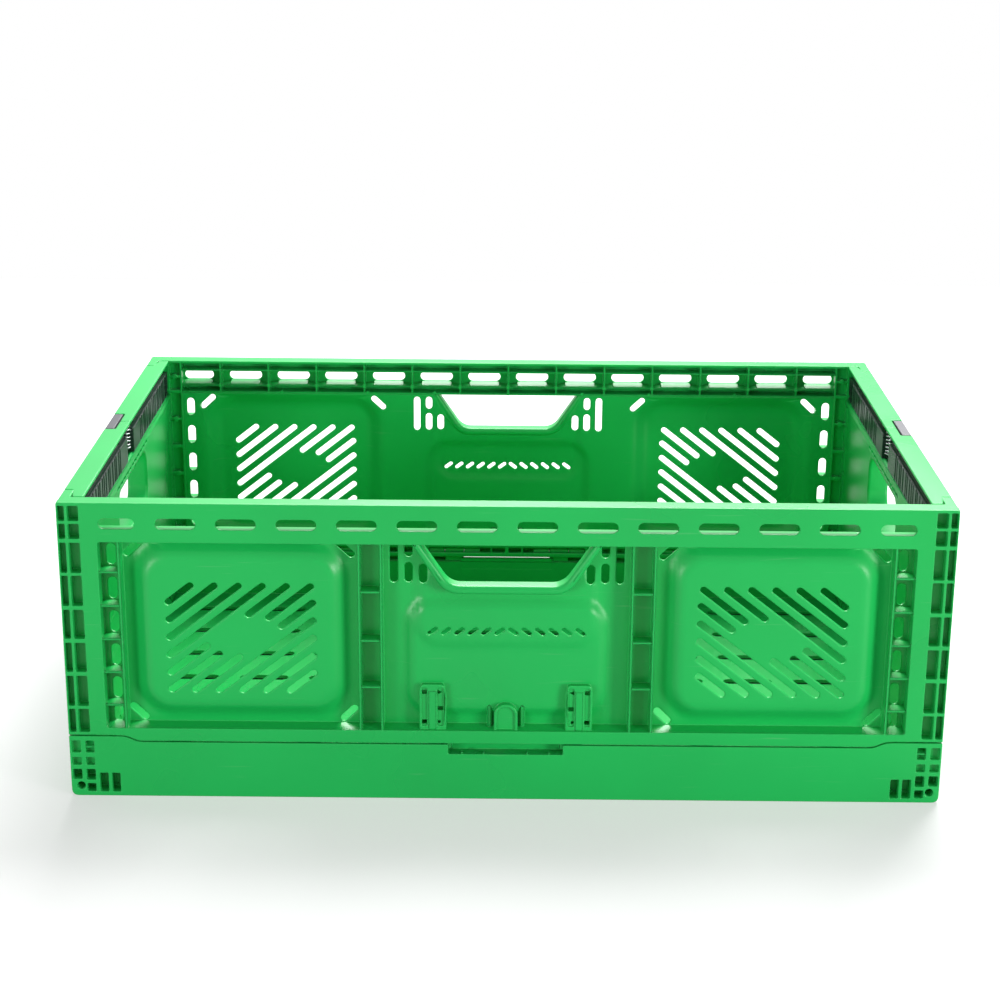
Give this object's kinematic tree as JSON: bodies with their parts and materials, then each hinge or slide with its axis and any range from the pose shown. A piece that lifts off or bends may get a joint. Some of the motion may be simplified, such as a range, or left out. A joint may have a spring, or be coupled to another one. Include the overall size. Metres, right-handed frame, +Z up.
{
  "type": "folding storage crate",
  "caption": "Rectangular plastic crate with slotted walls, handholds and end walls that fold inward after a sprung latch bar is drawn in by a lift grip.",
  "frame": {"origin": "centre of the footprint, on the ground", "axes": "+X along the long walls to the right, +Y from the front wall to the back wall, +Z up"},
  "size_m": [0.6, 0.4, 0.213],
  "materials": {
    "green": "gloss",
    "black": "satin",
    "grey": "satin",
    "steel": "satin"
  },
  "bodies": {
    "crate_frame": {"base": "green", "front_wall": "green", "back_wall": "green", "front_hinge_pins": "steel", "back_hinge_pins": "steel", "left_hinge_pin": "steel", "right_hinge_pin": "steel"},
    "left_wall": {"left_wall": "green", "left_latch_spring": "steel"},
    "left_latch": {"left_latch_grip": "grey", "left_latch_cam": "black"},
    "left_bar_front": {"left_bar_front": "black"},
    "left_bar_back": {"left_bar_back": "black"},
    "right_wall": {"right_wall": "green", "right_latch_spring": "steel"},
    "right_latch": {"right_latch_grip": "grey", "right_latch_cam": "black"},
    "right_bar_front": {"right_bar_front": "black"},
    "right_bar_back": {"right_bar_back": "black"}
  },
  "joints": [
    {"name": "left_wall_fold", "type": "hinge", "parent": "crate_frame", "child": "left_wall", "pos_m": [-0.289, 0, 0.0115], "axis": [0, 1, 0], "range_deg": [0, 90]},
    {"name": "left_latch_lift", "type": "slide", "parent": "left_wall", "child": "left_latch", "axis": [0, 0, 1], "range_m": [0, 0.007], "stiffness_N_per_m": 300, "springref_m": -0.01, "deforming": ["left_latch_spring"]},
    {"name": "left_bar_front_slide", "type": "slide", "parent": "left_wall", "child": "left_bar_front", "axis": [0, 1, 0], "range_m": [0, 0.007]},
    {"name": "left_bar_back_slide", "type": "slide", "parent": "left_wall", "child": "left_bar_back", "axis": [0, -1, 0], "range_m": [0, 0.007]},
    {"name": "right_wall_fold", "type": "hinge", "parent": "crate_frame", "child": "right_wall", "pos_m": [0.289, 0, 0.0115], "axis": [0, -1, 0], "range_deg": [0, 90]},
    {"name": "right_latch_lift", "type": "slide", "parent": "right_wall", "child": "right_latch", "axis": [0, 0, 1], "range_m": [0, 0.007], "stiffness_N_per_m": 300, "springref_m": -0.01, "deforming": ["right_latch_spring"]},
    {"name": "right_bar_front_slide", "type": "slide", "parent": "right_wall", "child": "right_bar_front", "axis": [0, 1, 0], "range_m": [0, 0.007]},
    {"name": "right_bar_back_slide", "type": "slide", "parent": "right_wall", "child": "right_bar_back", "axis": [0, -1, 0], "range_m": [0, 0.007]}
  ],
  "couplings": [
    {"joint": "left_bar_front_slide", "follows": "left_latch_lift", "ratio": 1},
    {"joint": "left_bar_back_slide", "follows": "left_latch_lift", "ratio": 1},
    {"joint": "right_bar_front_slide", "follows": "right_latch_lift", "ratio": 1},
    {"joint": "right_bar_back_slide", "follows": "right_latch_lift", "ratio": 1}
  ]
}
